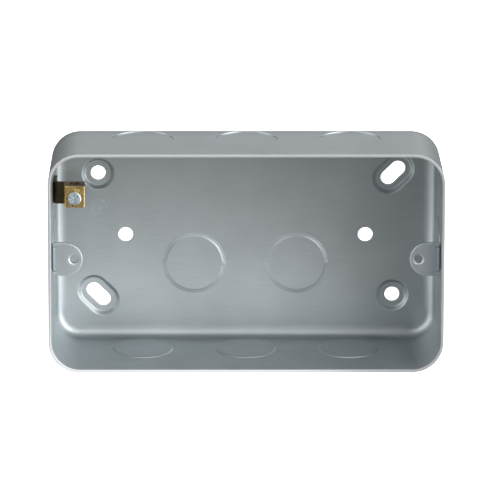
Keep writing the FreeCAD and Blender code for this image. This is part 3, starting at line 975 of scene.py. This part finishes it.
class BACKBOX_OT_box(bpy.types.Operator):
    """Make the drawn sheet box and put it in place of its plain solid"""

    bl_idname = "backbox.box"
    bl_label = "Drawn box"

    def execute(self, context):
        skin = box_skin(Millimetres(context.scene.backbox_box))
        made = skin.piece("drawn_box")
        looks = context.scene.backbox_metals
        # The dull zinc also gives the painted shade up the back
        metal = galvanised("galvanised sheet", looks, looks.zinc, looks.zinc_dull_and_shade,
                           edge_y=-context.scene.backbox_box.depth)
        made.data.materials.append(metal)
        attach(made, "root")
        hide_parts("box_shell")
        return {"FINISHED"}


class BACKBOX_OT_lugs(bpy.types.Operator):
    """Make both accessory lugs and put them in place of their plain solids"""

    bl_idname = "backbox.lugs"
    bl_label = "Accessory lugs"

    def execute(self, context):
        box = Millimetres(context.scene.backbox_box)
        lug = Millimetres(context.scene.backbox_lug)
        looks = context.scene.backbox_metals
        metal = galvanised("galvanised lug", looks, looks.zinc_lug, looks.zinc_lug, 0.02)
        for name, side in (("left", -1), ("right", 1)):
            made = lug_skin(box, lug, side).piece(name + "_accessory_lug")
            made.data.materials.append(metal)
            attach(made, "root")
            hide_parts(name + "_lug")
        return {"FINISHED"}


class BACKBOX_OT_terminal(bpy.types.Operator):
    """Give the earth terminal, its clamp screw and its rivet their metals"""

    bl_idname = "backbox.terminal"
    bl_label = "Earth terminal"

    def execute(self, context):
        looks = context.scene.backbox_metals
        for node, metal in (("earth_terminal", brass("terminal brass", looks)),
                            ("earth_terminal_screw", plated("plated screw", looks, 0.42)),
                            ("earth_terminal_rivet", plated("rivet steel", looks, 0.3))):
            for slot in frame["nodes"][node].material_slots:
                slot.material = metal
        return {"FINISHED"}


def soft_light(name, place, aim, size, strength):
    """A soft light of a size, width by height, turned at its place to face its aim."""
    lamp = bpy.data.lights.new(name, "AREA")
    lamp.shape = "RECTANGLE"
    lamp.size, lamp.size_y = size
    lamp.energy = strength
    made = bpy.data.objects.new(name, lamp)
    made.location = place
    made.rotation_euler = (Vector(aim) - Vector(place)).to_track_quat("-Z", "Y").to_euler()
    made.visible_camera = False
    bpy.context.scene.collection.objects.link(made)


# Name, place, aim and size in metres, and strength in watts, of each lamp near the box
LAMPS = (
    ("near front light", (-0.03, -0.10, -0.08), (-0.03, 0.0, -0.08), (0.12, 0.09), 0.029),
    ("low front light", (-0.025, -0.053, -0.042), (-0.025, 0.0, -0.025), (0.12, 0.02), 0.0052),
    ("far front light", (-0.05, -0.22, 0.08), (-0.05, 0.0, 0.08), (0.08, 0.12), 0.08),
)

# Direction and strength of each wide glow of the studio
GLOWS = (
    ((0.7, -0.5, 0.5), 4.8),
    ((0.85, 0.0, -0.5), 4.5),
    ((0.95, -0.3, 0.0), 4.4),
    ((0.0, 0.0, 1.0), 3.4),
    ((-0.85, 0.0, 0.5), 2.3),
    ((-0.95, -0.3, 0.0), 1.8),
    ((-0.7, -0.5, 0.45), 1.1),
    ((0.6, -0.8, 0.0), 0.9),
    ((0.3, 0.85, 0.45), 0.7),
    ((0.15, 0.5, 0.85), 0.4),
    ((-0.25, 0.8, 0.5), 0.3),
    ((-0.4, -0.6, -0.7), 1.0),
)
AIR_STRENGTH = 1.1
GLOW_SHARPNESS = 14.0

# Half the floor's side and the size of its patches in metres, their shade and the light
# it gives, and the width of the camera's film in millimetres
FLOOR_HALF = 6.0
FLOOR_PATCH = 0.4
FLOOR_SHADE = (0.97, 0.97, 0.97, 1.0)
FLOOR_GLOW = 0.9
FILM_WIDTH = 36.0


def studio_air(name):
    """The light of the studio: a sum of wide soft glows, each in its direction and strength."""
    air = Recipe(name, bpy.data.worlds)
    strength = 0.0
    for way, power in GLOWS:
        strength = strength + air.glow(way, GLOW_SHARPNESS) * (power * AIR_STRENGTH)
    sky = air.node("ShaderNodeBackground", None,
                   {"Color": (1.0, 1.0, 1.0, 1.0), "Strength": strength})
    air.finish(sky, "ShaderNodeOutputWorld")
    return air.material


class BACKBOX_OT_stage(bpy.types.Operator):
    """Set the pale floor, the soft studio light and the camera"""

    bl_idname = "backbox.stage"
    bl_label = "Stage"

    def execute(self, context):
        looks = context.scene.backbox_stage
        scene = context.scene
        floor_mesh = bpy.data.meshes.new("floor")
        corners = [(x * FLOOR_HALF, y * FLOOR_HALF, LOWEST)
                   for x, y in ((-1, -1), (1, -1), (1, 1), (-1, 1))]
        floor_mesh.from_pydata(corners, [], [(0, 1, 2, 3)])
        floor = bpy.data.objects.new("floor", floor_mesh)
        recipe = Recipe("pale floor")
        patches = recipe.cloud(recipe.place(), FLOOR_PATCH, 2.0)
        shade = recipe.blend(patches, opaque(looks.white), FLOOR_SHADE)
        recipe.finish(recipe.node("ShaderNodeBsdfPrincipled", None,
                                  {"Base Color": shade, "Roughness": 0.8, "Emission Color": shade,
                                   "Emission Strength": FLOOR_GLOW}))
        floor_mesh.materials.append(recipe.material)
        scene.collection.objects.link(floor)
        floor.visible_shadow = False
        floor.visible_diffuse = False
        floor.visible_glossy = False
        scene.world = studio_air("studio air")
        for lamp in LAMPS:
            soft_light(*lamp)

        # The camera stands off its target by the distance, and rolls about that line
        around, up = looks.azimuth, looks.elevation
        level = math.cos(up)
        away = Vector((math.sin(around) * level, -math.cos(around) * level, math.sin(up)))
        right = Vector((math.cos(around), math.sin(around), 0.0))
        top = away.cross(right)
        turn = Matrix((right, top, away)).transposed() @ Matrix.Rotation(looks.roll, 3, "Z")
        lens = bpy.data.cameras.new("camera")
        lens.lens = looks.lens
        lens.sensor_width = FILM_WIDTH
        camera = bpy.data.objects.new("camera", lens)
        stand = Vector(looks.target) + away * looks.distance
        camera.matrix_world = Matrix.Translation(stand) @ turn.to_4x4()
        scene.collection.objects.link(camera)
        scene.camera = camera
        scene.view_settings.view_transform = "Standard"
        return {"FINISHED"}


OPERATORS = (BACKBOX_OT_box, BACKBOX_OT_lugs, BACKBOX_OT_terminal, BACKBOX_OT_stage)
GROUPS = (("backbox_box", BoxSizes), ("backbox_lug", LugSizes),
          ("backbox_metals", MetalLooks), ("backbox_stage", StageLooks))


class BACKBOX_PT_panel(bpy.types.Panel):
    """Lists the steps and their settings in the 3D view's sidebar"""

    bl_idname = "BACKBOX_PT_panel"
    bl_label = "Two gang box"
    bl_space_type = "VIEW_3D"
    bl_region_type = "UI"
    bl_category = "Two gang box"

    def draw(self, context):
        for operator in OPERATORS:
            self.layout.operator(operator.bl_idname)
        for group, _ in GROUPS:
            column = self.layout.column()
            settings = getattr(context.scene, group)
            for name in settings.bl_rna.properties.keys():
                if name not in ("rna_type", "name"):
                    column.prop(settings, name)


def register():
    """Make the settings, the steps and the panel known."""
    for name, group in GROUPS:
        bpy.utils.register_class(group)
        setattr(bpy.types.Scene, name, bpy.props.PointerProperty(type=group))
    for operator in OPERATORS:
        bpy.utils.register_class(operator)
    bpy.utils.register_class(BACKBOX_PT_panel)


def unregister():
    """Take them away again in the opposite order."""
    bpy.utils.unregister_class(BACKBOX_PT_panel)
    for operator in reversed(OPERATORS):
        bpy.utils.unregister_class(operator)
    for name, group in reversed(GROUPS):
        delattr(bpy.types.Scene, name)
        bpy.utils.unregister_class(group)


def main():
    """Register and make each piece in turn."""
    register()
    bpy.ops.backbox.box()
    bpy.ops.backbox.lugs()
    bpy.ops.backbox.terminal()
    bpy.ops.backbox.stage()


if __name__ == "__main__":
    main()
